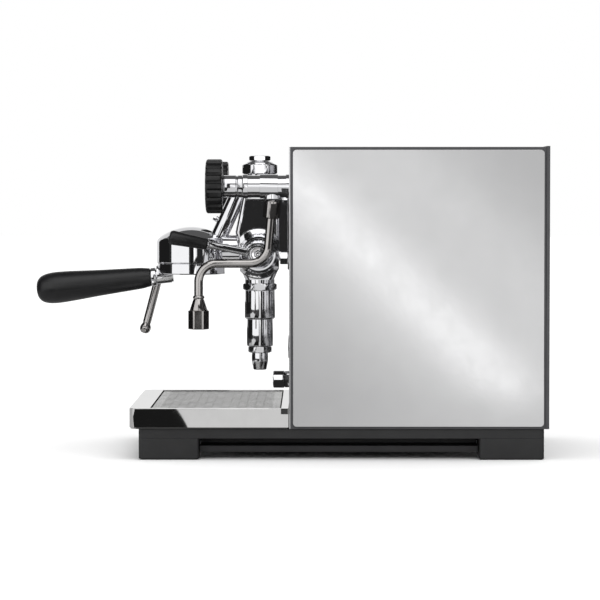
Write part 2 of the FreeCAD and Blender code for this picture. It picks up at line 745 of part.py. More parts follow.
# ---------------------------------------------------------------- portafilter
GRIP_DIP = 6.3
GRIP_DIR = Vector(0, -math.cos(math.radians(GRIP_DIP)), -math.sin(math.radians(GRIP_DIP)))
GRIP_ROOT = Vector(0, -157.0, 192.9)
GRIP_LENGTH = 129.0
RING_R = 38.0
RING_Z = (196.6, 209.0)
BOSS_FRONT = Vector(0, -149.5, 196.2)
BOSS_REAR = Vector(0, -132.0, 198.2)
BASKET_R = 30.0


def portafilter_body():
    """An open ring with two locking lugs and the neck of the handle."""
    ring = turned(
        [(0, 0), (RING_R - 1.2, 0), (RING_R, 1.2), (RING_R, 11.6), (RING_R - 0.8, 12.4), (0, 12.4)],
        Vector(0, BELL_Y, RING_Z[0]),
    )
    sleeve = upright(0, BELL_Y, (RING_Z[1], 219.5), LIP_BORE_R - 0.4)
    neck_end = GRIP_ROOT - GRIP_DIR * 23.5
    ferrule_end = GRIP_ROOT - GRIP_DIR * 7.0
    neck = rod(ferrule_end, neck_end, 8.6)
    rise = rod(BOSS_FRONT, BOSS_REAR, 9.6, 10.3)
    lugs = []
    for angle in LUG_ANGLES:
        lugs.append(ring_sector(LIP_BORE_R - 2, GROOVE_R - 0.4, (LUG_FOOT + 0.3, LUG_HEAD), angle, LUG_HALF_ANGLE))
    body = joined([ring, sleeve, neck, rise] + lugs)
    return body.cut(upright(0, BELL_Y, (RING_Z[0], 221.0), BASKET_R + 0.3))


def portafilter_ferrule():
    profile = [(0, 0), (9.4, 0), (10.4, 0.9), (10.4, 6.2), (9.6, 7.0), (0, 7.0)]
    return turned(profile, GRIP_ROOT - GRIP_DIR * 7.0, GRIP_DIR)


def portafilter_grip():
    """The tapered handle, swelling to a round free end."""
    def at(distance, radius):
        return Vector(radius, 0, distance)

    length = GRIP_LENGTH
    side = Part.BSplineCurve()
    side.interpolate([
        at(0.8, 10.2),
        at(12, 11.9),
        at(61, 14.8),
        at(100, 17.5),
        at(115.5, 17.2),
        at(125.5, 11.6),
        at(length, 0.01),
    ])
    edges = [
        Part.LineSegment(at(0, 0), at(0, 9.6)).toShape(),
        Part.LineSegment(at(0, 9.6), at(0.8, 10.2)).toShape(),
        side.toShape(),
        Part.LineSegment(at(length, 0.01), at(length, 0)).toShape(),
        Part.LineSegment(at(length, 0), at(0, 0)).toShape(),
    ]
    grip = Part.Face(Part.Wire(edges)).revolve(Vector(0, 0, 0), Z_AXIS, 360)
    grip.Placement = FreeCAD.Placement(GRIP_ROOT, FreeCAD.Rotation(Z_AXIS, GRIP_DIR))
    return grip


def filter_basket():
    """A thin cup hung by its rim on the ring, with a holed floor."""
    cup = upright(0, BELL_Y, (197.6, 219.5), BASKET_R)
    rim = upright(0, BELL_Y, (219.5, 221.2), LIP_BORE_R - 0.8)
    basket = joined([cup, rim]).cut(upright(0, BELL_Y, (198.6, 223.0), BASKET_R - 1.0))
    for ring in range(1, 4):
        for i in range(6 * ring):
            turn = 2 * math.pi * i / (6 * ring)
            x = 7.6 * ring * math.cos(turn)
            y = BELL_Y + 7.6 * ring * math.sin(turn)
            basket = basket.cut(upright(x, y, (197.0, 199.0), 1.0))
    return basket


# ---------------------------------------------------------------- valves and wands
def valve_body(x):
    """A valve housing on the panel with the wand's ball socket below it."""
    barrel = along_y(x, VALVE_Z, (-44.9, 0), VALVE_R)
    middle = along_y(x, VALVE_Z, (-31.8, -12.3), VALVE_R + 1.0)
    collar = along_y(x, VALVE_Z, (-3.5, 0), VALVE_R + 1.0)
    stub = along_y(x, VALVE_Z, (0, 6.0), 7.9)
    socket = upright(x, BALL_Y, (281.2, VALVE_Z), 10.0)
    body = joined([barrel, middle, collar, stub, socket])
    ball_room = Part.makeSphere(BALL_R + 0.06, Vector(x, BALL_Y, BALL_Z))
    mouth = upright(x, BALL_Y, (281.0, BALL_Z - 4.6), 7.2, 5.3)
    spindle_bore = along_y(x, VALVE_Z, (-46.0, -34.0), 5.06)
    return body.cut([ball_room, mouth, spindle_bore])


def valve_bodies():
    return group([valve_body(-VALVE_X), valve_body(VALVE_X)])


def valve_bonnets():
    """The screwed fronts of both valves."""
    bonnets = []
    for x in (-VALVE_X, VALVE_X):
        tube = along_y(x, VALVE_Z, (KNOB_BACK + 0.6, -50.3), VALVE_R)
        ring = along_y(x, VALVE_Z, (-50.3, -44.9), VALVE_R + 0.9)
        bonnet = joined([tube, ring])
        bonnets.append(bonnet.cut(along_y(x, VALVE_Z, (KNOB_BACK, -44.0), 5.06)))
    return group(bonnets)


def valve_spindle(x):
    return along_y(x, VALVE_Z, (KNOB_BACK - 8.0, -35.0), 5.0)


def valve_knob(x):
    """A thick fluted disc with a slightly domed face."""
    length = KNOB_BACK - KNOB_FRONT
    face_points = [
        (0, 0), (KNOB_R - 1.6, 0), (KNOB_R, 1.6), (KNOB_R, length - 2.4),
        (KNOB_R - 2.4, length - 0.9), (KNOB_R - 9.0, length), (0, length),
    ]
    knob = turned(face_points, Vector(x, KNOB_BACK, VALVE_Z), Vector(0, -1, 0))
    flutes = []
    for i in range(KNOB_FLUTES):
        turn = 2 * math.pi * (i + 0.5) / KNOB_FLUTES
        reach = KNOB_R + 1.3
        flutes.append(along_y(
            x + reach * math.cos(turn),
            VALVE_Z + reach * math.sin(turn),
            (KNOB_FRONT - 1, KNOB_BACK + 1),
            2.6,
        ))
    knob = knob.cut(flutes)
    return knob.cut(along_y(x, VALVE_Z, (KNOB_BACK - 8.1, KNOB_BACK + 1), 5.02))


def wand_ball(x):
    return Part.makeSphere(BALL_R, Vector(x, BALL_Y, BALL_Z))


WAND_ROOT_Z = 279.4
SLEEVE_LENGTH = 20.0


def wand_root(x):
    """The hexagonal sleeve under the ball and its thin neck."""
    start = Vector(x, BALL_Y, WAND_ROOT_Z)
    lean = (Vector(x, -24.5, 211.0) - start).normalize()
    sleeve = hex_bar(start, start + lean * SLEEVE_LENGTH, 9.2, 1.4, SIDE_CORNER)
    neck = upright(x, BALL_Y, (BALL_Z - BALL_R - 0.3 - 1.7, BALL_Z - BALL_R - 0.3), 3.6)
    return [neck, sleeve]


def water_wand():
    """The near wand: down, forward and down again."""
    x = VALVE_X
    points = [
        Vector(x, BALL_Y, WAND_ROOT_Z),
        Vector(x, -24.5, 211.0),
        Vector(x, -98.7, 211.0),
        Vector(x, -98.7, 173.0),
    ]
    return joined([bent_rod(points, WAND_R, 20.0)] + wand_root(x))


def water_nozzle():
    """A cone that opens to a hexagonal outlet."""
    foot = Vector(VALVE_X, -98.7, 139.4)
    hexagon = hex_bar(foot, foot + Vector(0, 0, 20.6), 11.5, 0.6, SIDE_CORNER)
    cone = turned(
        [(0, 0), (10.2, 0), (6.0, 11.6), (5.4, 12.4), (6.4, 13.6), (6.4, 15.0), (5.4, 16.2), (0, 16.2)],
        foot + Vector(0, 0, 20.6),
    )
    nozzle = joined([hexagon, cone])
    nozzle = nozzle.cut(upright(VALVE_X, -98.7, (130.0, 158.0), 8.2))
    return nozzle.cut(upright(VALVE_X, -98.7, (173.0, 180.0), WAND_R))


STEAM_BEND = Vector(-VALVE_X, -144.9, 225.0)
STEAM_DIR = Vector(0, -11.0, -42.0).normalize()
STEAM_RUN = 91.0


def steam_wand():
    """The far wand: down, a long run forward, then down at a slant."""
    x = -VALVE_X
    points = [
        Vector(x, BALL_Y, WAND_ROOT_Z),
        Vector(x, -23.6, 225.0),
        STEAM_BEND,
        STEAM_BEND + STEAM_DIR * STEAM_RUN,
    ]
    return joined([bent_rod(points, WAND_R, 20.0)] + wand_root(x))


def steam_tip():
    """A small pear-shaped tip."""
    start = STEAM_BEND + STEAM_DIR * STEAM_RUN
    profile = [(0, 0), (4.2, 0), (4.6, 1.5), (6.1, 4.6), (6.3, 7.2), (5.6, 10.0), (3.6, 12.2), (0, 13.0)]
    return turned(profile, start, STEAM_DIR)


# ---------------------------------------------------------------- small parts of the front
def drain_plug():
    """A hexagonal plug on a short collar."""
    head = hex_bar(Vector(PLUG_X, -18.3, PLUG_Z), Vector(PLUG_X, -5.0, PLUG_Z), 10.6, 1.4)
    collar = along_y(PLUG_X, PLUG_Z, (-5.0, 0), 9.2)
    shank = along_y(PLUG_X, PLUG_Z, (0, 8.0), 6.0)
    return joined([head, collar, shank])


def power_button():
    """A round push button with a shallow domed face."""
    face = turned(
        [(0, 0), (SWITCH_R, 0), (SWITCH_R, 9.0), (SWITCH_R - 0.9, 9.9), (5.0, 10.5), (0, 10.7)],
        Vector(SWITCH_X, 9.0, SWITCH_Z),
        Vector(0, -1, 0),
    )
    return face


def gauge_body():
    """The gauge's can, open at the panel, with its dial and the needle's post."""
    can = along_y(GAUGE_X, GAUGE_Z, (0.2, 26.0), GAUGE_R)
    can = can.cut(along_y(GAUGE_X, GAUGE_Z, (0, 4.0), GAUGE_R - 1.6))
    return can.fuse(along_y(GAUGE_X, GAUGE_Z, (2.0, 4.0), 1.2)).removeSplitter()


def gauge_needle():
    """A tapered pointer on a round hub, at rest on the low stop."""
    y_range = (2.2, 2.9)
    hub = along_y(GAUGE_X, GAUGE_Z, y_range, 3.2)
    outline = [Vector(-1.1, 0, -5), Vector(1.1, 0, -5), Vector(0.3, 0, 17), Vector(-0.3, 0, 17), Vector(-1.1, 0, -5)]
    blade = Part.Face(Part.makePolygon(outline)).extrude(Vector(0, y_range[1] - y_range[0], 0))
    blade.rotate(Vector(0, 0, 0), Y_AXIS, -120)
    needle = hub.fuse(blade.translated(Vector(GAUGE_X, y_range[0], GAUGE_Z))).removeSplitter()
    return needle.cut(along_y(GAUGE_X, GAUGE_Z, (0, 5), 1.25))


# ---------------------------------------------------------------- inside
BOILER_X = (-105.0, 85.0)
BOILER_FLANGE_X = 91.0


def boiler_outside():
    start = Vector(BOILER_X[0], BOILER_Y, BOILER_Z)
    end = Vector(BOILER_X[1], BOILER_Y, BOILER_Z)
    return rod(start, end, BOILER_R)


def boiler():
    """A copper drum on two saddles, with a flange for the heater."""
    shell = boiler_outside()
    flange = rod(Vector(BOILER_X[1], BOILER_Y, BOILER_Z), Vector(BOILER_FLANGE_X, BOILER_Y, BOILER_Z), 60.0)
    saddles = []
    for x in (-31.5, 28.5):
        saddle = box((x, x + 3.0), (BOILER_Y - 40, BOILER_Y + 40), (BASE_TOP, BOILER_Z))
        saddles.append(saddle.cut(shell))
    drum = joined([shell, flange])
    inside = rod(
        Vector(BOILER_X[0] + 2, BOILER_Y, BOILER_Z),
        Vector(BOILER_X[1] - 2, BOILER_Y, BOILER_Z),
        BOILER_R - 2,
    )
    mouth = rod(Vector(BOILER_X[1] - 3, BOILER_Y, BOILER_Z), Vector(BOILER_FLANGE_X + 1, BOILER_Y, BOILER_Z), 26.0)
    return group([drum.cut([inside, mouth])] + saddles)


def heating_element():
    """The heater's flange, its terminals and its loop inside the boiler."""
    x = BOILER_FLANGE_X
    plate = rod(Vector(x, BOILER_Y, BOILER_Z), Vector(x + 6, BOILER_Y, BOILER_Z), 34.0)
    cap = hex_bar(Vector(x + 6, BOILER_Y, BOILER_Z), Vector(x + 16, BOILER_Y, BOILER_Z), 22.0)
    loop = bent_rod([
        Vector(x, BOILER_Y, BOILER_Z - 14),
        Vector(x - 150, BOILER_Y, BOILER_Z - 14),
        Vector(x - 150, BOILER_Y, BOILER_Z + 14),
        Vector(x, BOILER_Y, BOILER_Z + 14),
    ], 4.0, 12.0)
    pieces = [plate, cap, loop]
    for y in (-9.0, 9.0):
        pieces.append(rod(Vector(x + 16, BOILER_Y + y, BOILER_Z), Vector(x + 24, BOILER_Y + y, BOILER_Z), 2.0))
    return joined(pieces)


def safety_valve():
    x = 30.0
    foot = upright(x, BOILER_Y, (BOILER_Z, 272.0), 6.0)
    nut = hex_bar(Vector(x, BOILER_Y, 272.0), Vector(x, BOILER_Y, 280.0), 10.0)
    drum = upright(x, BOILER_Y, (280.0, 300.0), 7.5)
    return joined([foot, nut, drum]).cut(boiler_outside())


def pump():
    """A vibration pump: a coil block, its end caps and two feet."""
    x = -78.0
    coil = box((x - 24, x + 24), (75, 125), (44, 92))
    front_cap = along_y(x, 68.0, (50, 75), 14.0)
    rear_cap = along_y(x, 68.0, (125, 160), 11.0)
    feet = [
        box((x - 20, x + 20), (79, 87), (BASE_TOP, 44)),
        box((x - 20, x + 20), (113, 121), (BASE_TOP, 44)),
    ]
    return joined([coil, front_cap, rear_cap] + feet)


def control_box():
    case = box((45, 115), (60, 150), (BASE_TOP, 108))
    case = case.makeFillet(4.0, upright_edges(case))
    terminals = [box((52 + 14 * i, 60 + 14 * i), (95, 115), (108, 116)) for i in range(4)]
    return joined([case] + terminals)


def copper_pipes():
    """Two thermosyphon pipes, the steam and water pipes, and the pump's feed."""
    pipes = []
    for z in THERMOSYPHON_Z:
        pipes.append(along_y(0, z, (0, BOILER_Y), 6.0))
    pipes.append(bent_rod([
        Vector(-VALVE_X, 6.0, VALVE_Z),
        Vector(-VALVE_X, BOILER_Y, VALVE_Z),
        Vector(-60, BOILER_Y, VALVE_Z),
        Vector(-60, BOILER_Y, BOILER_Z + 30),
    ], 4.0, 14.0))
    pipes.append(bent_rod([
        Vector(VALVE_X, 6.0, VALVE_Z),
        Vector(VALVE_X, 27.0, VALVE_Z),
        Vector(VALVE_X, 27.0, 130.0),
        Vector(10, 27.0, 130.0),
        Vector(10, BOILER_Y, 130.0),
        Vector(10, BOILER_Y, BOILER_Z - 30),
    ], 4.0, 14.0))
    pipes.append(upright(-78.0, BOILER_Y, (92.0, BOILER_Z), 4.0))
    drum = boiler_outside()
    return group([pipe.cut(drum) for pipe in pipes])


def mains_inlet():
    """A three-pin mains socket, flush with the rear panel."""
    block = box((INLET_X - 24.6, INLET_X + 24.6), (254.0, DEPTH - 0.2), (INLET_Z - 13.6, INLET_Z + 13.6))
    well = box((INLET_X - 12.5, INLET_X + 12.5), (DEPTH - 17, DEPTH), (INLET_Z - 9.5, INLET_Z + 9.5))
    block = block.cut(well)
    pins = []
    for x, z in ((-7.0, -2.0), (7.0, -2.0), (0.0, 2.5)):
        pins.append(box(
            (INLET_X + x - 1.0, INLET_X + x + 1.0),
            (DEPTH - 17, DEPTH - 3),
            (INLET_Z + z - 2.0, INLET_Z + z + 2.0),
        ))
    return joined([block] + pins)


# ---------------------------------------------------------------- the nodes
NODES = {
    "base_frame": base_frame(),
    "pedestal_feet": pedestal_feet(),
    "foot_pads": foot_pads(),
    "chassis_pan": chassis_pan(),
    "body_frame": body_frame(),
    "front_panel": front_panel(),
    "rear_panel": rear_panel(),
    "side_panel_left": side_panel(-1),
    "side_panel_right": side_panel(1),
    "panel_screws": panel_screws(),
    "top_plate": top_plate(),
    "cup_tray": cup_tray(),
    "water_tank": water_tank(),
    "tank_lid": tank_lid(),
    "drip_tray": drip_tray(),
    "drip_grate": drip_grate(),
    "group_flange": group_flange(),
    "flange_nuts": flange_nuts(),
    "group_body": group_body(),
    "group_bell": group_bell(),
    "group_gasket": group_gasket(),
    "shower_screen": shower_screen(),
    "neck_plug": neck_plug(),
    "top_nut": top_nut(),
    "top_cap": top_cap(),
    "cam_cover": cam_cover(),
    "camshaft": camshaft(),
    "lever_rod": lever_rod(),
    "lever_grip": lever_grip(),
    "brew_valve_stem": brew_valve_stem(),
    "upper_chamber": upper_chamber(),
    "lower_chamber": lower_chamber(),
    "discharge_nozzle": discharge_nozzle(),
    "portafilter_body": portafilter_body(),
    "portafilter_ferrule": portafilter_ferrule(),
    "portafilter_grip": portafilter_grip(),
    "filter_basket": filter_basket(),
    "valve_bodies": valve_bodies(),
    "valve_bonnets": valve_bonnets(),
    "steam_spindle": valve_spindle(-VALVE_X),
    "water_spindle": valve_spindle(VALVE_X),
    "steam_knob": valve_knob(-VALVE_X),
    "water_knob": valve_knob(VALVE_X),
    "steam_ball": wand_ball(-VALVE_X),
    "water_ball": wand_ball(VALVE_X),
    "steam_wand": steam_wand(),
    "water_wand": water_wand(),
    "steam_tip": steam_tip(),
    "water_nozzle": water_nozzle(),
    "drain_plug": drain_plug(),
    "power_button": power_button(),
    "gauge_body": gauge_body(),
    "gauge_needle": gauge_needle(),
    "boiler": boiler(),
    "heating_element": heating_element(),
    "safety_valve": safety_valve(),
    "pump": pump(),
    "control_box": control_box(),
    "copper_pipes": copper_pipes(),
    "mains_inlet": mains_inlet(),
}

os.makedirs("parts", exist_ok=True)
for name, shape in NODES.items():
    shape.exportStep("parts/" + name + ".step")
    print(name, len(shape.Solids), round(shape.Volume), shape.isValid())
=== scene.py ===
import json
import math

import bmesh
import bpy
from mathutils import Matrix, Vector


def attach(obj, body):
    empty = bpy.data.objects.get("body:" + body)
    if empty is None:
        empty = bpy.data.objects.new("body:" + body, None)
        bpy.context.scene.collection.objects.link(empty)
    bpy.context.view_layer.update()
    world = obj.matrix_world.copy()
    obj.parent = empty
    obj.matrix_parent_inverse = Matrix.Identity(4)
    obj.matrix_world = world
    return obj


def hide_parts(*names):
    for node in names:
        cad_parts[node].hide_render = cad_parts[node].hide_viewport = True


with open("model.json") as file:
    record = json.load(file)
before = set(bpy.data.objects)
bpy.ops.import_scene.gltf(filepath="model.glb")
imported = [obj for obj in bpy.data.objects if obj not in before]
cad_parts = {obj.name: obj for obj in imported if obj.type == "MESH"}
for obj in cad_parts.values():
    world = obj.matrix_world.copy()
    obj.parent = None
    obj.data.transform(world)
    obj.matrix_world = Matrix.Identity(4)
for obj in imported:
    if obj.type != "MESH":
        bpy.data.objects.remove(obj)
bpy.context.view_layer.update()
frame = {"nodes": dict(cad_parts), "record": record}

MM = 0.001
X_AXIS = Vector((1, 0, 0))
Y_AXIS = Vector((0, 1, 0))
Z_AXIS = Vector((0, 0, 1))
BODIES = frame["record"]["behaviour"]["bodies"]
BODY_OF = {node: body for body, nodes in BODIES.items() for node in nodes}


def place(x, y, z):
    """A point given in millimetres."""
    return Vector((x, y, z)) * MM


# ------------------------------------------------------------------ materials
def new_tree(name):
    made = bpy.data.materials.new(name)
    made.use_nodes = True
    tree = made.node_tree
    shader = tree.nodes["Principled BSDF"]
    return made, tree, shader


def noise(tree, scale, detail=3.0, stretch=(1, 1, 1), distortion=0.0):
    coordinates = tree.nodes.new("ShaderNodeTexCoord")
    mapping = tree.nodes.new("ShaderNodeMapping")
    mapping.inputs["Scale"].default_value = stretch
    texture = tree.nodes.new("ShaderNodeTexNoise")
    texture.inputs["Scale"].default_value = scale
    texture.inputs["Detail"].default_value = detail
    texture.inputs["Distortion"].default_value = distortion
    tree.links.new(coordinates.outputs["Object"], mapping.inputs["Vector"])
    tree.links.new(mapping.outputs["Vector"], texture.inputs["Vector"])
    return texture.outputs["Fac"]


def spread(tree, value, low, high, start=0.3, end=0.7):
    """Maps a noise value to the range low to high."""
    node = tree.nodes.new("ShaderNodeMapRange")
    node.inputs["From Min"].default_value = start
    node.inputs["From Max"].default_value = end
    node.inputs["To Min"].default_value = low
    node.inputs["To Max"].default_value = high
    tree.links.new(value, node.inputs["Value"])
    return node.outputs["Result"]


def shades(tree, value, dark, light):
    ramp = tree.nodes.new("ShaderNodeValToRGB")
    ramp.color_ramp.elements[0].position = 0.3
    ramp.color_ramp.elements[0].color = (*dark, 1)
    ramp.color_ramp.elements[1].position = 0.7
    ramp.color_ramp.elements[1].color = (*light, 1)
    tree.links.new(value, ramp.inputs["Fac"])
    return ramp.outputs["Color"]


def bump(tree, shader, height, strength, distance):
    node = tree.nodes.new("ShaderNodeBump")
    node.inputs["Strength"].default_value = strength
    node.inputs["Distance"].default_value = distance
    tree.links.new(height, node.inputs["Height"])
    tree.links.new(node.outputs["Normal"], shader.inputs["Normal"])


def finish(name, colour, metallic, roughness, vary=0.03, tint=0.05, cloud=60.0,
           grain=900.0, stretch=(1, 1, 1), relief=0.1, depth=0.00005, coat=0.0):
    """A surface with soft tonal clouds, uneven gloss and a fine grain in its relief."""
    made, tree, shader = new_tree(name)
    dark = [c * (1 - tint) for c in colour]
    light = [min(1.0, c * (1 + tint)) for c in colour]
    clouds = noise(tree, cloud, 4.0)
    tree.links.new(shades(tree, clouds, dark, light), shader.inputs["Base Color"])
    smudges = noise(tree, cloud * 1.7, 6.0, stretch, 0.4)
    gloss = spread(tree, smudges, roughness - vary, roughness + vary)
    tree.links.new(gloss, shader.inputs["Roughness"])
    shader.inputs["Metallic"].default_value = metallic
    shader.inputs["Coat Weight"].default_value = coat
    bump(tree, shader, noise(tree, grain, 4.0, stretch), relief, depth)
    return made


# name: colour, metallic, roughness, and the settings that differ from a plain finish
FINISHES = {
    "painted_base": ((0.021, 0.021, 0.022), 0.0, 0.46, dict(grain=1400, relief=0.35, tint=0.10)),
    "painted_pan": ((0.026, 0.026, 0.028), 0.0, 0.50, dict(grain=1400, relief=0.35, tint=0.10)),
    "painted_frame": ((0.075, 0.075, 0.080), 0.3, 0.40, dict(grain=1200, relief=0.2)),
    "painted_rear": ((0.085, 0.085, 0.090), 0.5, 0.40, dict(grain=1200, relief=0.3, tint=0.08)),
    "rubber_pads": ((0.022, 0.022, 0.022), 0.0, 0.75, dict(grain=700, relief=0.4, tint=0.15)),
    "polished_steel": (
        (0.66, 0.66, 0.67), 1.0, 0.14,
        dict(vary=0.04, grain=500, stretch=(1, 12, 12), relief=0.08),
    ),
    "brushed_side": (
        (0.67, 0.67, 0.675), 1.0, 0.13,
        dict(vary=0.02, tint=0.02, cloud=25, grain=260, relief=0.30),
    ),
    "screw_steel": ((0.55, 0.55, 0.57), 1.0, 0.25, dict(grain=2500, relief=0.15)),
    "inner_steel": ((0.60, 0.60, 0.61), 1.0, 0.28, dict(grain=900, stretch=(1, 10, 1), relief=0.12)),
    "tank_plastic": ((0.75, 0.78, 0.80), 0.0, 0.35, dict(grain=500, relief=0.1)),
    "tray_steel": (
        (0.90, 0.895, 0.89), 1.0, 0.028,
        dict(vary=0.008, tint=0.02, grain=500, stretch=(1, 1, 14), relief=0.003),
    ),
    "grate_steel": (
        (0.35, 0.35, 0.34), 1.0, 0.24,
        dict(tint=0.16, cloud=22, grain=700, stretch=(1, 14, 1), relief=0.15),
    ),
    "group_chrome": ((0.86, 0.86, 0.88), 1.0, 0.045, dict(vary=0.015, tint=0.02, grain=160, relief=0.015)),
    "gasket_rubber": ((0.025, 0.025, 0.025), 0.0, 0.7, dict(grain=900, relief=0.3)),
    "black_grip": ((0.007, 0.007, 0.008), 0.0, 0.36, dict(vary=0.05, tint=0.2, grain=2200, relief=0.25)),
    "black_knob": ((0.003, 0.003, 0.0035), 0.0, 0.34, dict(vary=0.05, tint=0.2, grain=2200, relief=0.22)),
    "black_button": ((0.012, 0.012, 0.013), 0.0, 0.22, dict(grain=1500, relief=0.08, coat=0.3)),
    "wand_steel": ((0.52, 0.50, 0.49), 1.0, 0.10, dict(vary=0.03, grain=600, stretch=(6, 1, 1), relief=0.05)),
    "gauge_dial": ((0.86, 0.86, 0.84), 0.0, 0.40, dict(grain=1500, relief=0.05)),
    "needle_paint": ((0.02, 0.02, 0.02), 0.0, 0.45, dict(grain=1500, relief=0.1)),
    "copper": ((0.78, 0.42, 0.28), 1.0, 0.30, dict(vary=0.08, tint=0.15, relief=0.15)),
    "brass": ((0.76, 0.58, 0.28), 1.0, 0.28, dict(vary=0.06, tint=0.12, relief=0.15)),
    "pump_housing": ((0.06, 0.06, 0.065), 0.0, 0.5, dict(relief=0.2)),
    "control_plastic": ((0.40, 0.40, 0.42), 0.0, 0.5, dict(relief=0.2)),
}
MATERIALS = {name: finish(name, *row[:3], **row[3]) for name, row in FINISHES.items()}
SLOT_OF = {row["node"]: row["material_slot"] for row in frame["record"]["subparts"]}


# ------------------------------------------------------------------ mesh helpers
def add_object(name, mesh):
    made = bpy.data.objects.new(name, mesh)
    bpy.context.scene.collection.objects.link(made)
    return made


def own(piece, node, *more):
    """The piece stands for one or more CAD nodes: same body, same slot, same finish."""
    slot = SLOT_OF[node]
    piece.data.materials.clear()
    piece.data.materials.append(MATERIALS[slot])
    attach(piece, BODY_OF[node])
    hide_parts(node, *more)
    return piece


def shade(mesh, angle=32.0):
    mesh.polygons.foreach_set("use_smooth", [True] * len(mesh.polygons))
    mesh.set_sharp_from_angle(angle=math.radians(angle))
    mesh.update()


def soften(node, width, segments=2, angle=32.0):
    """A copy of a CAD node with its coplanar triangles joined and its sharp edges rounded."""
    source = frame["nodes"][node]
    mesh = source.data.copy()
    form = bmesh.new()
    form.from_mesh(mesh)
    bmesh.ops.remove_doubles(form, verts=form.verts, dist=1e-6)
    bmesh.ops.dissolve_limit(
        form,
        angle_limit=math.radians(0.6),
        verts=form.verts,
        edges=form.edges,
    )
    bmesh.ops.recalc_face_normals(form, faces=form.faces)
    form.to_mesh(mesh)
    form.free()
    mesh.polygons.foreach_set("use_smooth", [True] * len(mesh.polygons))
    piece = add_object(node + "_shape", mesh)
    edge = piece.modifiers.new("edge", "BEVEL")
    edge.width = width * MM
    edge.segments = segments
    edge.limit_method = "ANGLE"
    edge.angle_limit = math.radians(angle)
    edge.use_clamp_overlap = True
    lie = piece.modifiers.new("lie", "WEIGHTED_NORMAL")
    lie.mode = "FACE_AREA"
    lie.weight = 100
    lie.keep_sharp = False
    apply_modifiers(piece)
    return own(piece, node)


def apply_modifiers(piece):
    view = bpy.context.evaluated_depsgraph_get()
    mesh = bpy.data.meshes.new_from_object(piece.evaluated_get(view))
    piece.modifiers.clear()
    piece.data = mesh


def lathe(name, profile, centre, axis=Z_AXIS, segments=96, radius_at=None, angle=32.0):
    """A turned form from (radius, height) points in millimetres; radius_at may flute it."""
    turn = Z_AXIS.rotation_difference(axis).to_matrix()
    form = bmesh.new()
    rings = []
    for radius, height in profile:
        if radius < 1e-6:
            rings.append([form.verts.new(centre + turn @ place(0, 0, height))])
            continue
        ring = []
        for i in range(segments):
            theta = 2 * math.pi * i / segments
            r = radius if radius_at is None else radius_at(theta, radius, height)
            point = place(r * math.cos(theta), r * math.sin(theta), height)
            ring.append(form.verts.new(centre + turn @ point))
        rings.append(ring)
    for low, high in zip(rings, rings[1:]):
        for i in range(segments):
            j = (i + 1) % segments
            corners = [low[i % len(low)], low[j % len(low)], high[j % len(high)], high[i % len(high)]]
            unique = []
            for corner in corners:
                if corner not in unique:
                    unique.append(corner)
            if len(unique) > 2:
                form.faces.new(unique)
    bmesh.ops.recalc_face_normals(form, faces=form.faces)
    mesh = bpy.data.meshes.new(name)
    form.to_mesh(mesh)
    form.free()
    shade(mesh, angle)
    return add_object(name, mesh)


def merge(name, pieces):
    """Joins finished forms into one object."""
    form = bmesh.new()
    for piece in pieces:
        form.from_mesh(piece.data)
    mesh = bpy.data.meshes.new(name)
    form.to_mesh(mesh)
    form.free()
    for piece in pieces:
        bpy.data.objects.remove(piece)
    shade(mesh, 34.0)
    return add_object(name, mesh)


def bent_points(corners, bend_radius, steps=14):
    """Points along straight runs joined by tangent arcs, in millimetres."""
    points = [corners[0].copy()]
    for before, corner, after in zip(corners, corners[1:], corners[2:]):
        toward = (before - corner).normalized()
        away = (after - corner).normalized()
        half_turn = (math.pi - toward.angle(away)) / 2
        start = corner + toward * bend_radius * math.tan(half_turn)
        middle = (toward + away).normalized()
        centre = corner + middle * bend_radius / math.cos(half_turn)
        first = start - centre
        axis = toward.cross(away).normalized()
        for i in range(steps + 1):
            turn = Matrix.Rotation(-2 * half_turn * i / steps, 3, axis)
            points.append(centre + turn @ first)
    points.append(corners[-1].copy())
    return points


def tube(name, points, radius, segments=40):
    """A round bar swept along points without twist, closed at both ends."""
    form = bmesh.new()
    side = None
    rings = []
    for i, point in enumerate(points):
        back = points[max(i - 1, 0)]
        ahead = points[min(i + 1, len(points) - 1)]
        along = (ahead - back).normalized()
        if side is None:
            side = along.orthogonal().normalized()
        side = (side - along * side.dot(along)).normalized()
        across = along.cross(side)
        ring = []
        for j in range(segments):
            theta = 2 * math.pi * j / segments
            offset = side * math.cos(theta) + across * math.sin(theta)
            ring.append(form.verts.new((point + offset * radius) * MM))
        rings.append(ring)
    for low, high in zip(rings, rings[1:]):
        for j in range(segments):
            k = (j + 1) % segments
            form.faces.new((low[j], low[k], high[k], high[j]))
    form.faces.new(list(reversed(rings[0])))
    form.faces.new(rings[-1])
    bmesh.ops.recalc_face_normals(form, faces=form.faces)
    mesh = bpy.data.meshes.new(name)
    form.to_mesh(mesh)
    form.free()
    shade(mesh, 40.0)
    return add_object(name, mesh)


def curve_through(points, steps=8):
    """A smooth profile through (radius, height) points."""
    made = []
    count = len(points)
    for i in range(count - 1):
        a = points[max(i - 1, 0)]
        b = points[i]
        c = points[i + 1]
        d = points[min(i + 2, count - 1)]
        for k in range(steps):
            t = k / steps
            row = []
            for n in range(2):
                row.append(0.5 * (
                    2 * b[n]
                    + (c[n] - a[n]) * t
                    + (2 * a[n] - 5 * b[n] + 4 * c[n] - d[n]) * t * t
                    + (3 * b[n] - a[n] - 3 * c[n] + d[n]) * t ** 3
                ))
            made.append((max(row[0], 0.0), row[1]))
    made.append(points[-1])
    return made


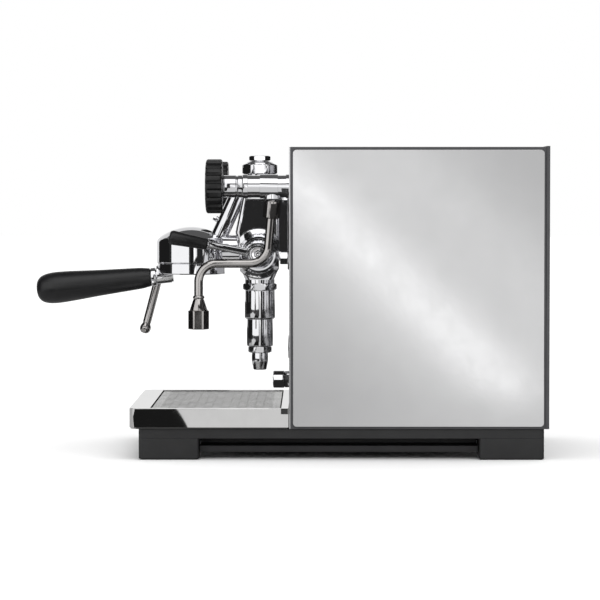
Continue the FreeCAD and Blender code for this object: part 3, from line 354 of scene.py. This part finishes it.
def rounded(points, radius=0.5, steps=3):
    """The profile with its inner corners rounded."""
    made = [points[0]]
    for before, corner, after in zip(points, points[1:], points[2:]):
        b = Vector(before)
        c = Vector(corner)
        a = Vector(after)
        reach = min(radius, (b - c).length * 0.45, (a - c).length * 0.45)
        start = c + (b - c).normalized() * reach
        end = c + (a - c).normalized() * reach
        for i in range(steps + 1):
            t = i / steps
            made.append(tuple(start * (1 - t) ** 2 + c * 2 * t * (1 - t) + end * t * t))
    made.append(points[-1])
    return made


# ------------------------------------------------------------------ finishes on the CAD pieces
for node, source in frame["nodes"].items():
    source.data.materials.clear()
    source.data.materials.append(MATERIALS[SLOT_OF[node]])

SOFTENED = {
    "side_panel_left": 0.5,
    "side_panel_right": 0.5,
    "body_frame": 0.4,
    "front_panel": 0.3,
    "rear_panel": 0.4,
    "base_frame": 0.3,
    "pedestal_feet": 0.3,
    "foot_pads": 0.3,
    "chassis_pan": 0.5,
    "drip_tray": 0.5,
    "drip_grate": 0.3,
    "tank_lid": 0.5,
    "cup_tray": 0.3,
    "water_tank": 0.6,
    "group_body": 0.9,
    "group_flange": 0.7,
    "flange_nuts": 0.25,
    "neck_plug": 0.25,
    "top_cap": 0.35,
    "cam_cover": 0.3,
    "portafilter_body": 0.5,
    "valve_bodies": 0.35,
    "drain_plug": 0.35,
    "mains_inlet": 0.4,
    "control_box": 0.8,
    "pump": 0.8,
}
for node, width in SOFTENED.items():
    soften(node, width)


# ------------------------------------------------------------------ brew group
COLUMN_Y = -34.0
BELL_Y = -111.0
BELL_R = 39.0
BELL_BOTTOM = 209.3
CAM = (0.0, -35.0, 220.0)
LEVER_X = 55.0


def bell():
    """The bell as one turned form: lip, wall, shoulder, low dome and the room inside."""
    shoulder_z = 231.5
    shoulder_r = 7.5
    dome_top = 249.4
    outside = [(33.7, BELL_BOTTOM), (38.2, BELL_BOTTOM), (39.0, BELL_BOTTOM + 0.8)]
    for i in range(6):
        outside.append((BELL_R, BELL_BOTTOM + 0.8 + (shoulder_z - BELL_BOTTOM - 0.8) * (i + 1) / 6))
    shoulder_arc = 62
    for i in range(1, 13):
        turn = math.radians(shoulder_arc * i / 12)
        radius = BELL_R - shoulder_r + shoulder_r * math.cos(turn)
        outside.append((radius, shoulder_z + shoulder_r * math.sin(turn)))
    edge_r, edge_z = outside[-1]
    rise = dome_top - edge_z
    sphere_r = (edge_r ** 2 + rise ** 2) / (2 * rise)
    span = math.asin(edge_r / sphere_r)
    for i in range(1, 17):
        turn = span * (1 - i / 16)
        outside.append((sphere_r * math.sin(turn), dome_top - sphere_r * (1 - math.cos(turn))))
    inside = [(0, 231.0), (36.3, 231.0), (36.3, 213.6), (33.7, 213.6), (33.7, BELL_BOTTOM)]
    piece = lathe("bell_shape", inside[:-1] + outside, place(0, BELL_Y, 0), segments=160, angle=28.0)
    return own(piece, "group_bell")


def chambers():
    """The turned drums under the column and the capped spout."""
    drum = rounded([(0, 0), (15.4, 0), (17.0, 1.6), (17.0, 32.6), (0, 32.6)], 0.6)
    parts = [
        lathe("drum", drum, place(0, COLUMN_Y, 145.8), segments=128),
        hexagon("drum_nut", 178.4, 186.3, 19.2, 1.2),
    ]
    own(merge("upper_chamber_shape", parts), "upper_chamber")
    drum = rounded([(0, 0), (14.0, 0), (14.7, 0.8), (14.7, 30.6), (0, 30.6)], 0.6)
    own(lathe("lower_chamber_shape", drum, place(0, COLUMN_Y, 115.2), segments=128), "lower_chamber")
    spout = [(4.5, 23.0), (4.5, 0.4), (5.0, 0), (6.8, 0), (7.5, 0.7), (9.2, 9.8), (9.2, 19.3), (4.6, 19.3)]
    parts = [
        lathe("spout", rounded(spout, 0.5), place(0, COLUMN_Y, 88.7), segments=96),
        hexagon("spout_nut", 108.0, 115.2, 13.5, 1.0),
    ]
    own(merge("discharge_nozzle_shape", parts), "discharge_nozzle")


def hexagon(name, low, high, corner_radius, chamfer, centre=(0.0, COLUMN_Y), bore=0.0):
    """An upright hexagonal nut whose corners are turned down in a cone, with crisp but broken edges."""
    flat = corner_radius * math.cos(math.radians(30))
    sides = 6
    per_side = 12
    form = bmesh.new()

    def reach(theta):
        across = (theta + math.radians(30)) % math.radians(60) - math.radians(30)
        return min(flat / math.cos(across), corner_radius - 0.2)

    rows = []
    for z, face_r in (
        (low, corner_radius - 2.0 * chamfer),
        (low + chamfer * 0.5, corner_radius - chamfer),
        (low + chamfer, corner_radius),
        (high - chamfer, corner_radius),
        (high - chamfer * 0.5, corner_radius - chamfer),
        (high, corner_radius - 2.0 * chamfer),
    ):
        row = []
        for i in range(sides * per_side):
            theta = 2 * math.pi * i / (sides * per_side)
            r = min(reach(theta), face_r)
            x = centre[0] + r * math.cos(theta)
            y = centre[1] + r * math.sin(theta)
            row.append(form.verts.new(place(x, y, z)))
        rows.append(row)
    for lower, upper in zip(rows, rows[1:]):
        for i in range(len(lower)):
            j = (i + 1) % len(lower)
            form.faces.new((lower[i], lower[j], upper[j], upper[i]))
    form.faces.new(list(reversed(rows[0])))
    form.faces.new(rows[-1])
    bmesh.ops.recalc_face_normals(form, faces=form.faces)
    mesh = bpy.data.meshes.new(name)
    form.to_mesh(mesh)
    form.free()
    shade(mesh, 14.0)
    return add_object(name, mesh)


def column_head():
    dome = curve_through([(15.6, 0), (14.4, 1.7), (11.6, 2.8), (8.0, 3.3), (0.0, 3.4)], 4)
    parts = [
        hexagon("cap_nut", 308.5, 320.3, 19.8, 1.4),
        lathe("cap_dome", [(0, 0)] + dome, place(0, COLUMN_Y, 320.25), segments=96),
    ]
    own(merge("top_nut_shape", parts), "top_nut")


def lever():
    """Hub with its sunk screw, the slim arm and the flared grip."""
    hub_start = 40.5
    length = 21.5
    hub = [
        (0, 0), (9.6, 0), (11.0, 1.4), (11.0, length - 1.4), (9.6, length), (7.6, length),
        (7.2, length - 0.4), (7.2, length - 3.0), (0, length - 3.0),
    ]
    screw = [(0, 0), (4.6, 0), (4.6, 1.8), (4.0, 2.4), (2.4, 2.4), (2.2, 1.2), (0, 1.2)]
    centre = place(hub_start, CAM[1], CAM[2])
    parts = [
        lathe("hub", rounded(hub, 0.4), centre, X_AXIS, 96),
        lathe("shaft", [(0, 0), (5.0, 0), (5.0, 49.0), (0, 49.0)], place(-8, CAM[1], CAM[2]), X_AXIS, 48),
        lathe("screw", rounded(screw, 0.2), place(hub_start + length - 3.0, CAM[1], CAM[2]), X_AXIS, 6),
        lathe("cam", [(0, 0), (9.0, 0), (9.0, 10.0), (0, 10.0)], place(-5, CAM[1] + 2.5, CAM[2]), X_AXIS, 64),
    ]
    own(merge("camshaft_shape", parts), "camshaft")
    lean = math.radians(11.0)
    along = Vector((0, -math.cos(lean), math.sin(lean)))
    root = place(LEVER_X, CAM[1], CAM[2])
    arm = [(0, 8.0), (4.9, 8.0), (4.9, 12.0), (4.4, 13.0), (4.0, 54.5), (4.6, 55.2), (4.6, 56.8), (0, 57.0)]
    own(lathe("lever_rod_shape", rounded(arm, 0.4), root, along, 64), "lever_rod")
    grip = curve_through([
        (5.6, 0.0), (6.1, 0.7), (6.35, 4.0), (6.8, 14.0), (7.4, 27.0), (7.95, 37.0), (7.7, 40.4),
        (6.2, 42.4), (3.4, 42.9), (0.0, 43.0),
    ], 6)
    grip = [(0, 0.0), (5.2, 0.0)] + grip
    own(lathe("lever_grip_shape", grip, root + along * 57.0 * MM, along, 80, angle=50.0), "lever_grip")


def portafilter():
    """The ferrule and the swelling grip of the filter handle."""
    dip = math.radians(6.3)
    along = Vector((0, -math.cos(dip), -math.sin(dip)))
    root = place(0, -157.0, 192.9)
    ferrule = rounded([(0, 0), (9.0, 0), (10.4, 1.2), (10.4, 5.8), (9.4, 7.0), (0, 7.0)], 0.5)
    own(lathe("portafilter_ferrule_shape", ferrule, root - along * 7.0 * MM, along, 96), "portafilter_ferrule")
    grip = curve_through([
        (9.4, 0.0), (10.2, 0.8), (10.9, 5.0), (11.9, 12.0), (13.3, 36.0), (14.8, 61.0), (16.6, 85.0),
        (17.5, 101.0), (17.4, 110.0), (16.4, 117.5), (14.0, 123.5), (10.0, 127.2), (5.0, 128.8), (0.0, 129.0),
    ], 7)
    grip = [(0, 0.0)] + grip
    own(lathe("portafilter_grip_shape", grip, root, along, 112, angle=50.0), "portafilter_grip")


# ------------------------------------------------------------------ valves and wands
VALVE_X = 103.0
VALVE_Z = 294.8
KNOB_R = 29.35
KNOB_BACK = -72.5
BALL = (-18.4, 287.0)
WAND_ROOT_Z = 279.4
SLEEVE_LENGTH = 20.0
WATER_RUN_Z = 211.0
WATER_FOOT_Y = -98.7
STEAM_RUN_Z = 225.0


def knob(side, node):
    """A thick knob with soft flutes, a rounded rim and a dished centre."""
    flutes = 20
    length = 18.5

    def fluted(theta, radius, height):
        wave = max(0.0, -math.cos(flutes * theta))
        rim = max(0.0, min(1.0, (radius - KNOB_R + 5.0) / 4.0))
        return radius - 1.7 * rim * wave ** 1.3

    profile = [
        (0, 0), (9.0, 0), (24.0, 0.0), (KNOB_R - 1.9, 0.1), (KNOB_R - 0.6, 0.7), (KNOB_R, 1.9),
        (KNOB_R, 5.0), (KNOB_R, 9.0), (KNOB_R, 13.0), (KNOB_R, length - 2.8),
        (KNOB_R - 0.7, length - 1.5), (KNOB_R - 2.3, length - 0.7), (KNOB_R - 6.0, length - 0.2),
        (KNOB_R - 9.0, length), (17.6, length), (17.0, length - 0.7), (16.4, length - 0.7),
        (15.8, length - 0.1), (8.0, length - 0.3), (0, length - 0.4),
    ]
    piece = lathe(
        node + "_shape",
        profile,
        place(side * VALVE_X, KNOB_BACK, VALVE_Z),
        -Y_AXIS,
        240,
        fluted,
        30.0,
    )
    own(piece, node)


def bonnets():
    parts = []
    for x in (-VALVE_X, VALVE_X):
        profile = rounded([
            (5.2, 0), (13.0, 0), (13.0, 5.4), (12.1, 6.2), (12.1, 10.5), (11.5, 11.2), (11.5, 12.4),
            (12.1, 13.1), (12.1, 27.0), (5.2, 27.0),
        ], 0.35)
        parts.append(lathe("bonnet", profile, place(x, -44.9, VALVE_Z), -Y_AXIS, 96))
    own(merge("valve_bonnets_shape", parts), "valve_bonnets")


def wand(side, node, ball_node, corners):
    x = side * VALVE_X
    root = Vector((x, BALL[0], WAND_ROOT_Z))
    lean = (corners[1] - corners[0]).normalized()
    path = bent_points(corners, 20.0)
    stalk = [(0, 0), (3.6, 0), (3.6, 1.7), (0, 1.7)]
    parts = [
        tube("pipe", path, 4.8, 48),
        tilted_hexagon("sleeve", root, lean, SLEEVE_LENGTH, 9.2, 1.4),
        lathe("stalk", stalk, place(x, BALL[0], BALL[1] - 9.0), segments=40),
    ]
    own(merge(node + "_shape", parts), node)
    ball = []
    for i in range(25):
        turn = math.pi * i / 24
        ball.append((7.0 * math.sin(turn) if 0 < i < 24 else 0.0, -7.0 * math.cos(turn)))
    own(lathe(ball_node + "_shape", ball, place(x, BALL[0], BALL[1]), segments=64, angle=60.0), ball_node)


def tilted_hexagon(name, start, along, length, corner_radius, chamfer):
    """A hexagonal nut on a sloping axis."""
    piece = hexagon(name, 0.0, length, corner_radius, chamfer, (0.0, 0.0))
    turn = Z_AXIS.rotation_difference(along).to_matrix().to_4x4()
    piece.data.transform(Matrix.Translation(start * MM) @ turn)
    return piece


def wands():
    wand(1, "water_wand", "water_ball", [
        Vector((VALVE_X, BALL[0], WAND_ROOT_Z)),
        Vector((VALVE_X, -24.5, WATER_RUN_Z)),
        Vector((VALVE_X, WATER_FOOT_Y, WATER_RUN_Z)),
        Vector((VALVE_X, WATER_FOOT_Y, 173.0)),
    ])
    bend = Vector((-VALVE_X, -144.9, STEAM_RUN_Z))
    along = Vector((0, -11.0, -42.0)).normalized()
    tip = bend + along * 91.0
    wand(-1, "steam_wand", "steam_ball", [
        Vector((-VALVE_X, BALL[0], WAND_ROOT_Z)),
        Vector((-VALVE_X, -23.6, STEAM_RUN_Z)),
        bend,
        tip,
    ])
    profile = curve_through([
        (4.2, 0.0), (4.6, 1.4), (5.4, 3.0), (6.1, 4.8), (6.3, 7.0), (5.7, 9.8), (4.0, 12.0),
        (2.0, 12.8), (0.0, 13.0),
    ], 5)
    own(lathe("steam_tip_shape", [(0, 0)] + profile, tip * MM, along, 72), "steam_tip")
    foot = (VALVE_X, WATER_FOOT_Y)
    cone = rounded([
        (0, 0), (10.0, 0), (6.0, 11.6), (5.4, 12.4), (6.4, 13.6), (6.4, 15.0), (5.4, 16.2), (0, 16.2),
    ], 0.4)
    parts = [
        hollow_hexagon("outlet", 139.4, 160.0, 11.5, 8.2, foot),
        lathe("cone", cone, place(foot[0], foot[1], 160.0), segments=96),
    ]
    own(merge("water_nozzle_shape", parts), "water_nozzle")


def hollow_hexagon(name, low, high, corner_radius, bore, centre):
    """A hexagonal sleeve with a round bore that is open at the foot."""
    flat = corner_radius * math.cos(math.radians(30))
    count = 72
    rows = []
    form = bmesh.new()
    levels = (
        (high - 3.0, None, bore),
        (low + 0.5, None, bore),
        (low, None, bore + 0.4),
        (low, -0.7, 0.0),
        (low + 0.6, 0.0, 0.0),
        (high - 0.6, 0.0, 0.0),
        (high, -0.9, 0.0),
    )
    for z, inset, radius in levels:
        row = []
        for i in range(count):
            theta = 2 * math.pi * i / count
            if inset is None:
                r = radius
            else:
                across = (theta + math.radians(30)) % math.radians(60) - math.radians(30)
                r = min(flat / math.cos(across), corner_radius - 0.2) + inset
            x = centre[0] + r * math.cos(theta)
            y = centre[1] + r * math.sin(theta)
            row.append(form.verts.new(place(x, y, z)))
        rows.append(row)
    for lower, upper in zip(rows, rows[1:]):
        for i in range(count):
            j = (i + 1) % count
            form.faces.new((lower[i], lower[j], upper[j], upper[i]))
    form.faces.new(rows[0])
    form.faces.new(rows[-1])
    bmesh.ops.recalc_face_normals(form, faces=form.faces)
    mesh = bpy.data.meshes.new(name)
    form.to_mesh(mesh)
    form.free()
    shade(mesh, 14.0)
    return add_object(name, mesh)


# ------------------------------------------------------------------ gauge and button
def extra(piece, node, material=None):
    """A piece that adds detail beside a CAD node and moves with it."""
    slot = SLOT_OF[node]
    piece.data.materials.clear()
    piece.data.materials.append(material or MATERIALS[slot])
    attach(piece, BODY_OF[node])
    return piece


def gauge():
    x, z = -62.0, 235.0
    bezel = rounded([
        (20.3, -0.4), (20.3, 1.5), (21.2, 2.1), (23.0, 2.0), (24.4, 1.0), (24.6, 0.05), (20.3, 0.05),
    ], 0.3)
    ring = lathe("gauge_bezel", bezel, place(x, 0, z), -Y_AXIS, 128)
    extra(ring, "flange_nuts")
    outer = 18.6
    form = bmesh.new()
    for i in range(25):
        turn = math.radians(-120 + 10 * i)
        long = i % 5 == 0
        reach = 4.4 if long else 2.2
        half = 0.45 if long else 0.25
        up = Vector((math.sin(turn), 0, math.cos(turn)))
        across = Vector((math.cos(turn), 0, -math.sin(turn)))
        centre = Vector((x, 3.98, z))
        corners = []
        inner = outer - reach
        for y in (0.0, -0.12):
            for along, wide in ((outer, -half), (outer, half), (inner, half), (inner, -half)):
                corners.append(form.verts.new((centre + up * along + across * wide + Vector((0, y, 0))) * MM))
        form.faces.new(corners[4:])
        for a in range(4):
            b = (a + 1) % 4
            form.faces.new((corners[a], corners[b], corners[b + 4], corners[a + 4]))
        form.faces.new(list(reversed(corners[:4])))
    bmesh.ops.recalc_face_normals(form, faces=form.faces)
    mesh = bpy.data.meshes.new("gauge_marks")
    form.to_mesh(mesh)
    form.free()
    marks = add_object("gauge_marks", mesh)
    extra(marks, "gauge_body", MATERIALS["needle_paint"])


SWITCH_X = 80.0
SWITCH_Z = 119.0


def button():
    profile = rounded([
        (0, 0), (9.9, 0), (9.9, 9.0), (9.4, 9.8), (8.4, 10.1), (7.8, 10.1), (7.4, 9.7), (7.0, 10.2),
        (4.0, 10.55), (0, 10.7),
    ], 0.3)
    own(lathe("power_button_shape", profile, place(SWITCH_X, 9.0, SWITCH_Z), -Y_AXIS, 96), "power_button")
    ring = rounded([
        (10.05, -0.5), (10.05, 0.9), (10.6, 1.3), (12.2, 1.2), (12.9, 0.6), (13.0, 0.03), (10.05, 0.03),
    ], 0.2)
    extra(lathe("button_ring", ring, place(SWITCH_X, 0, SWITCH_Z), -Y_AXIS, 96), "drain_plug")


bell()
chambers()
column_head()
lever()
portafilter()
knob(-1, "steam_knob")
knob(1, "water_knob")
bonnets()
wands()
gauge()
button()


# ------------------------------------------------------------------ stage, light and camera
def flat_mesh(name, corners):
    form = bmesh.new()
    form.faces.new([form.verts.new(place(*corner)) for corner in corners])
    mesh = bpy.data.meshes.new(name)
    form.to_mesh(mesh)
    form.free()
    return add_object(name, mesh)


def card(name, corners, level, ramp=None, along=None):
    """A studio reflector or flag that only glossy rays meet; ramp grades it along a direction."""
    piece = flat_mesh(name, corners)
    piece.visible_camera = False
    piece.visible_diffuse = False
    piece.visible_shadow = False
    piece.visible_transmission = False
    piece.visible_volume_scatter = False
    made = bpy.data.materials.new(name)
    made.use_nodes = True
    tree = made.node_tree
    tree.nodes.clear()
    output = tree.nodes.new("ShaderNodeOutputMaterial")
    glow = tree.nodes.new("ShaderNodeEmission")
    glow.inputs["Strength"].default_value = level
    tree.links.new(glow.outputs["Emission"], output.inputs["Surface"])
    if ramp:
        origin, direction, length = along
        coordinates = tree.nodes.new("ShaderNodeTexCoord")
        shift = tree.nodes.new("ShaderNodeVectorMath")
        shift.operation = "SUBTRACT"
        shift.inputs[1].default_value = place(*origin)
        project = tree.nodes.new("ShaderNodeVectorMath")
        project.operation = "DOT_PRODUCT"
        project.inputs[1].default_value = Vector(direction).normalized() / (length * MM)
        tree.links.new(coordinates.outputs["Object"], shift.inputs[0])
        tree.links.new(shift.outputs["Vector"], project.inputs[0])
        grade = tree.nodes.new("ShaderNodeValToRGB")
        grade.color_ramp.interpolation = "B_SPLINE"
        stops = grade.color_ramp.elements
        while len(stops) < len(ramp):
            stops.new(0.5)
        for stop, (position, value) in zip(stops, ramp):
            stop.position = position
            stop.color = (value, value, value, 1)
        tree.links.new(project.outputs["Value"], grade.inputs["Fac"])
        tree.links.new(grade.outputs["Color"], glow.inputs["Color"])
    piece.data.materials.append(made)
    return piece


def room():
    """The walls, ceiling and ground around the set, which only glossy rays meet."""
    far = 6000
    high = 5000
    step = 2400
    dim = 0.03
    card("wall_low", [(-far, -far, -1), (-far, far, -1), (-far, far, step), (-far, -far, step)], 0.80)
    card("wall_high", [(-far, -far, step), (-far, far, step), (-far, far, high), (-far, -far, high)], 0.70)
    card("wall_front", [(-far, -far, -1), (far, -far, -1), (far, -far, high), (-far, -far, high)], dim)
    card("wall_rear", [(-far, far, -1), (far, far, -1), (far, far, high), (-far, far, high)], 0.06)
    card("wall_near", [(far, -far, -1), (far, far, -1), (far, far, high), (far, -far, high)], dim)
    card("ceiling", [(-far, -far, high), (far, -far, high), (far, far, high), (-far, far, high)], 0.10)
    card("ground", [(-far, -far, -1), (far, -far, -1), (far, far, -1), (-far, far, -1)], 0.05)


def stage():
    far = 15000.0
    floor = flat_mesh("floor", [(-far, -far, 0), (far, -far, 0), (far, far, 0), (-far, far, 0)])
    made, _, shader = new_tree("floor")
    shader.inputs["Base Color"].default_value = (0.94, 0.94, 0.94, 1)
    shader.inputs["Roughness"].default_value = 0.9
    shader.inputs["Specular IOR Level"].default_value = 0.0
    floor.data.materials.append(made)
    floor.visible_glossy = False

    world = bpy.data.worlds.new("studio")
    world.use_nodes = True
    world.node_tree.nodes["Background"].inputs["Color"].default_value = (1, 1, 1, 1)
    world.node_tree.nodes["Background"].inputs["Strength"].default_value = 1.0
    bpy.context.scene.world = world
    bpy.context.scene.view_settings.view_transform = "Standard"

    key = bpy.data.lights.new("key", "SUN")
    key.energy = 0.9
    key.angle = math.radians(70)
    lamp = bpy.data.objects.new("key", key)
    lamp.rotation_euler = (math.radians(-12), math.radians(14), 0)
    lamp.visible_glossy = False
    bpy.context.scene.collection.objects.link(lamp)

    room()
    card("floor_light", [(290, -1400, 0), (1000, -1400, 0), (1000, 1400, 0), (290, 1400, 0)], 1.0,
         [(0.0, 0.60), (0.3, 0.78), (0.6, 0.88), (1.0, 0.9)], ((0, 0, 0), (0, 1, 0), 600.0))
    card("floor_flag", [(350, -115, 0.5), (1000, -167, 0.5), (1000, -700, 0.5), (350, -700, 0.5)], 0.01)
    card("plate_reflector", [(1000, -110, 1), (1000, 900, 1), (1000, 900, 620), (1000, -110, 620)], 2.0,
         [(0.0, 0.31), (0.185, 0.37), (0.3125, 0.42), (0.385, 0.55), (0.4375, 0.87), (0.49, 0.62),
          (0.54, 0.42), (0.62, 0.455), (0.73, 0.515), (0.80, 0.40), (0.95, 0.35), (1.0, 0.34)],
         ((1000, -122.7, 125.8), (0, 0.689, 0.725), 480.0))
    # dark flag just beside the column: it only paints a dark reflection band onto the column's flat face
    card("column_flag", [(100, -66, 232), (100, -1.5, 215), (100, -1.5, 281), (100, -66, 281)], 0.02)
    card("front_flag", [(413, -1600, 0), (-1300, -1600, 0), (-1300, -1600, 1900), (413, -1600, 1900)], 0.012)
    card("soft_left", [(1500, -260, 60), (600, -1500, 60), (600, -1500, 1500), (1500, -260, 1500)], 1.05)
    card("soft_top", [(350, -900, 1700), (2500, -900, 1700), (2500, 900, 1700), (350, 900, 1700)], 1.35)
    # dark flags just beside the bell, the drain plug, the water wand and the front panel edge: they only paint
    # dark reflection bands onto these parts
    card("bell_flag", [(90, -111, 190), (90, -98, 190), (90, -98, 262), (90, -111, 262)], 0.01)
    card("bell_flag_rear", [(90, -84, 205), (90, -52, 205), (90, -52, 255), (90, -84, 255)], 0.02)
    card("plug_flag", [(40, -22, 72), (150, -22, 72), (150, -1.5, 72), (40, -1.5, 72)], 0.02)
    card("wand_flag", [(112, -24, 226), (112, -14, 226), (112, -10.5, 276), (112, -20, 276)], 0.05)
    card("edge_flag", [(160, -9, 48), (160, -0.6, 48), (160, -0.6, 276), (160, -9, 276)], 0.05)
    card("front_floor", [(-350, -1100, 0.4), (280, -1100, 0.4), (280, -190, 0.4), (-350, -190, 0.4)], 0.40)
    card("left_floor", [(-1400, -800, 0.3), (-170, -800, 0.3), (-170, 900, 0.3), (-1400, 900, 0.3)], 0.42)
    card("rear_floor", [(-500, 330, 0.2), (280, 330, 0.2), (280, 1300, 0.2), (-500, 1300, 0.2)], 0.40)
    # dark flag just beside the drums and spout under the column: it only paints a dark reflection band onto
    # them
    card("drum_flag", [(90, -24, 92), (90, -3, 92), (90, -3, 190), (90, -24, 190)], 0.02)


def camera():
    focal_pixels = 2631.0
    image_width = 600.0
    data = bpy.data.cameras.new("camera")
    data.sensor_width = 36.0
    data.lens = focal_pixels / image_width * data.sensor_width
    lens = bpy.data.objects.new("camera", data)
    lens.location = place(2963.0, 23.6, 285.4)
    yaw = math.radians(0.24)
    pitch = math.radians(2.285)
    forward = Vector((
        -math.cos(pitch) * math.cos(yaw),
        -math.cos(pitch) * math.sin(yaw),
        -math.sin(pitch),
    ))
    lens.rotation_euler = forward.to_track_quat("-Z", "Y").to_euler()
    bpy.context.scene.collection.objects.link(lens)
    bpy.context.scene.camera = lens


stage()
camera()
